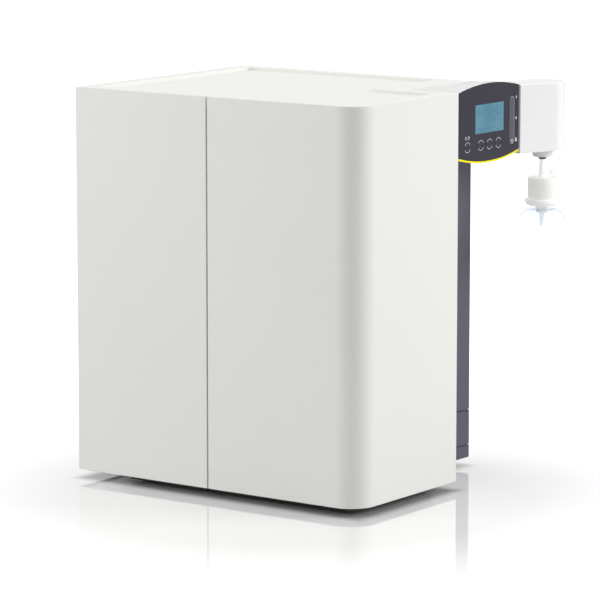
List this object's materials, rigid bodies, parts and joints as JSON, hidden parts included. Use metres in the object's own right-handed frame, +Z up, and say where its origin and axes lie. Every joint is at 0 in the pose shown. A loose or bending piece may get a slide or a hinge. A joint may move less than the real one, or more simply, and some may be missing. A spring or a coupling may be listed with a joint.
{
  "type": "ultrapure water system",
  "caption": "Bench-top ultrapure water system: housing with wrap-around cartridge door, display unit sliding in a side niche, dispensing head with capsule filter and filling bell.",
  "frame": {"origin": "on the bench plane, under the centre of the housing's footprint", "axes": "+Z up, front -Y, the cartridge door on the -X side and the dispensing head on the +X side"},
  "size_m": [0.4483, 0.4773, 0.5088],
  "materials": {
    "white_shell": "moulded panel, fine satin texture",
    "white_gloss": "moulded, semi-gloss",
    "column_grey": "satin",
    "panel_grey": "satin",
    "lever_grey": "satin",
    "yellow_trim": "gloss",
    "lcd_blue": "screen window",
    "module_grey": "plain",
    "black_plastic": "fine texture",
    "red_switch": "gloss",
    "blue_fitting": "moulded",
    "foot_rubber": "matt",
    "sheet_steel": "zinc plated sheet",
    "rail_aluminium": "extruded",
    "reactor_steel": "polished stainless",
    "board_green": "solder mask",
    "tube_clear": "milky tube",
    "cartridge_white": "blow-moulded",
    "frosted": "frosted",
    "membrane": "pleated membrane",
    "clear_plastic": "clear moulded plastic"
  },
  "bodies": {
    "housing": {"plinth": "black_plastic", "rubber_feet": "foot_rubber", "base_plate": "sheet_steel", "bulkhead": "sheet_steel", "niche_wall": "white_shell", "column_frame": "sheet_steel", "slide_rail": "rail_aluminium", "column_cover": "column_grey", "lower_strip": "column_grey", "top_cover": "white_shell", "rear_side_panel": "white_shell", "right_side_panel": "white_shell", "rear_panel": "white_shell", "hinge_brackets": "sheet_steel", "door_catch": "black_plastic", "service_cover": "column_grey", "service_port": "blue_fitting", "mains_inlet": "black_plastic", "switch_frame": "black_plastic", "feed_port": "blue_fitting", "drain_port": "black_plastic", "cartridge_cradle": "black_plastic", "polishing_cartridge": "cartridge_white", "pretreatment_cartridge": "cartridge_white", "cartridge_manifold": "black_plastic", "pump_head": "black_plastic", "pump_motor": "sheet_steel", "uv_reactor": "reactor_steel", "inlet_valve": "black_plastic", "conductivity_cell": "white_gloss", "power_supply": "sheet_steel", "control_board": "board_green", "water_tubing": "tube_clear"},
    "door": {"front_door": "white_shell", "hinge_arms": "sheet_steel"},
    "display": {"carriage": "black_plastic", "display_housing": "white_gloss", "front_panel": "panel_grey", "trim_strip": "yellow_trim", "lcd_window": "lcd_blue", "lcd_module": "module_grey", "keypad_board": "board_green", "lever_pin": "sheet_steel", "head_shell": "white_gloss", "head_base": "white_gloss", "head_pipe": "tube_clear", "spigot": "white_gloss", "spigot_seal": "foot_rubber", "filter_body": "frosted", "filter_membrane": "membrane", "filter_base": "frosted", "filling_bell": "clear_plastic"},
    "power_key": {"power_key": "panel_grey"},
    "left_key": {"left_key": "panel_grey"},
    "middle_key": {"middle_key": "panel_grey"},
    "right_key": {"right_key": "panel_grey"},
    "lever": {"dispense_lever": "lever_grey"},
    "vent": {"vent_knob": "frosted"},
    "rocker": {"mains_rocker": "red_switch"}
  },
  "joints": [
    {"name": "door_hinge", "type": "hinge", "parent": "housing", "child": "door", "pos_m": [-0.168, 0.0301, 0.2], "axis": [0, 0, -1], "range_deg": [0, 95]},
    {"name": "display_height", "type": "slide", "parent": "housing", "child": "display", "axis": [0, 0, 1], "range_m": [-0.24, 0]},
    {"name": "power_key_press", "type": "slide", "parent": "display", "child": "power_key", "axis": [0, 1, 0], "range_m": [0, 0.0008], "stiffness_N_per_m": 1200, "springref_m": -0.0005},
    {"name": "left_key_press", "type": "slide", "parent": "display", "child": "left_key", "axis": [0, 1, 0], "range_m": [0, 0.0008], "stiffness_N_per_m": 1200, "springref_m": -0.0005},
    {"name": "middle_key_press", "type": "slide", "parent": "display", "child": "middle_key", "axis": [0, 1, 0], "range_m": [0, 0.0008], "stiffness_N_per_m": 1200, "springref_m": -0.0005},
    {"name": "right_key_press", "type": "slide", "parent": "display", "child": "right_key", "axis": [0, 1, 0], "range_m": [0, 0.0008], "stiffness_N_per_m": 1200, "springref_m": -0.0005},
    {"name": "lever_press", "type": "hinge", "parent": "display", "child": "lever", "pos_m": [0.16275, -0.21, 0.4777], "axis": [1, 0, 0], "range_deg": [0, 6], "stiffness_Nm_per_rad": 0.6, "springref_deg": -2.86},
    {"name": "vent_turn", "type": "hinge", "parent": "display", "child": "vent", "pos_m": [0.24, -0.214, 0.382], "axis": [0.8192, -0.5736, 0], "range_deg": [0, 180]},
    {"name": "mains_switch", "type": "hinge", "parent": "housing", "child": "rocker", "pos_m": [0.142, 0.212, 0.074], "axis": [1, 0, 0], "range_deg": [0, 18]}
  ]
}
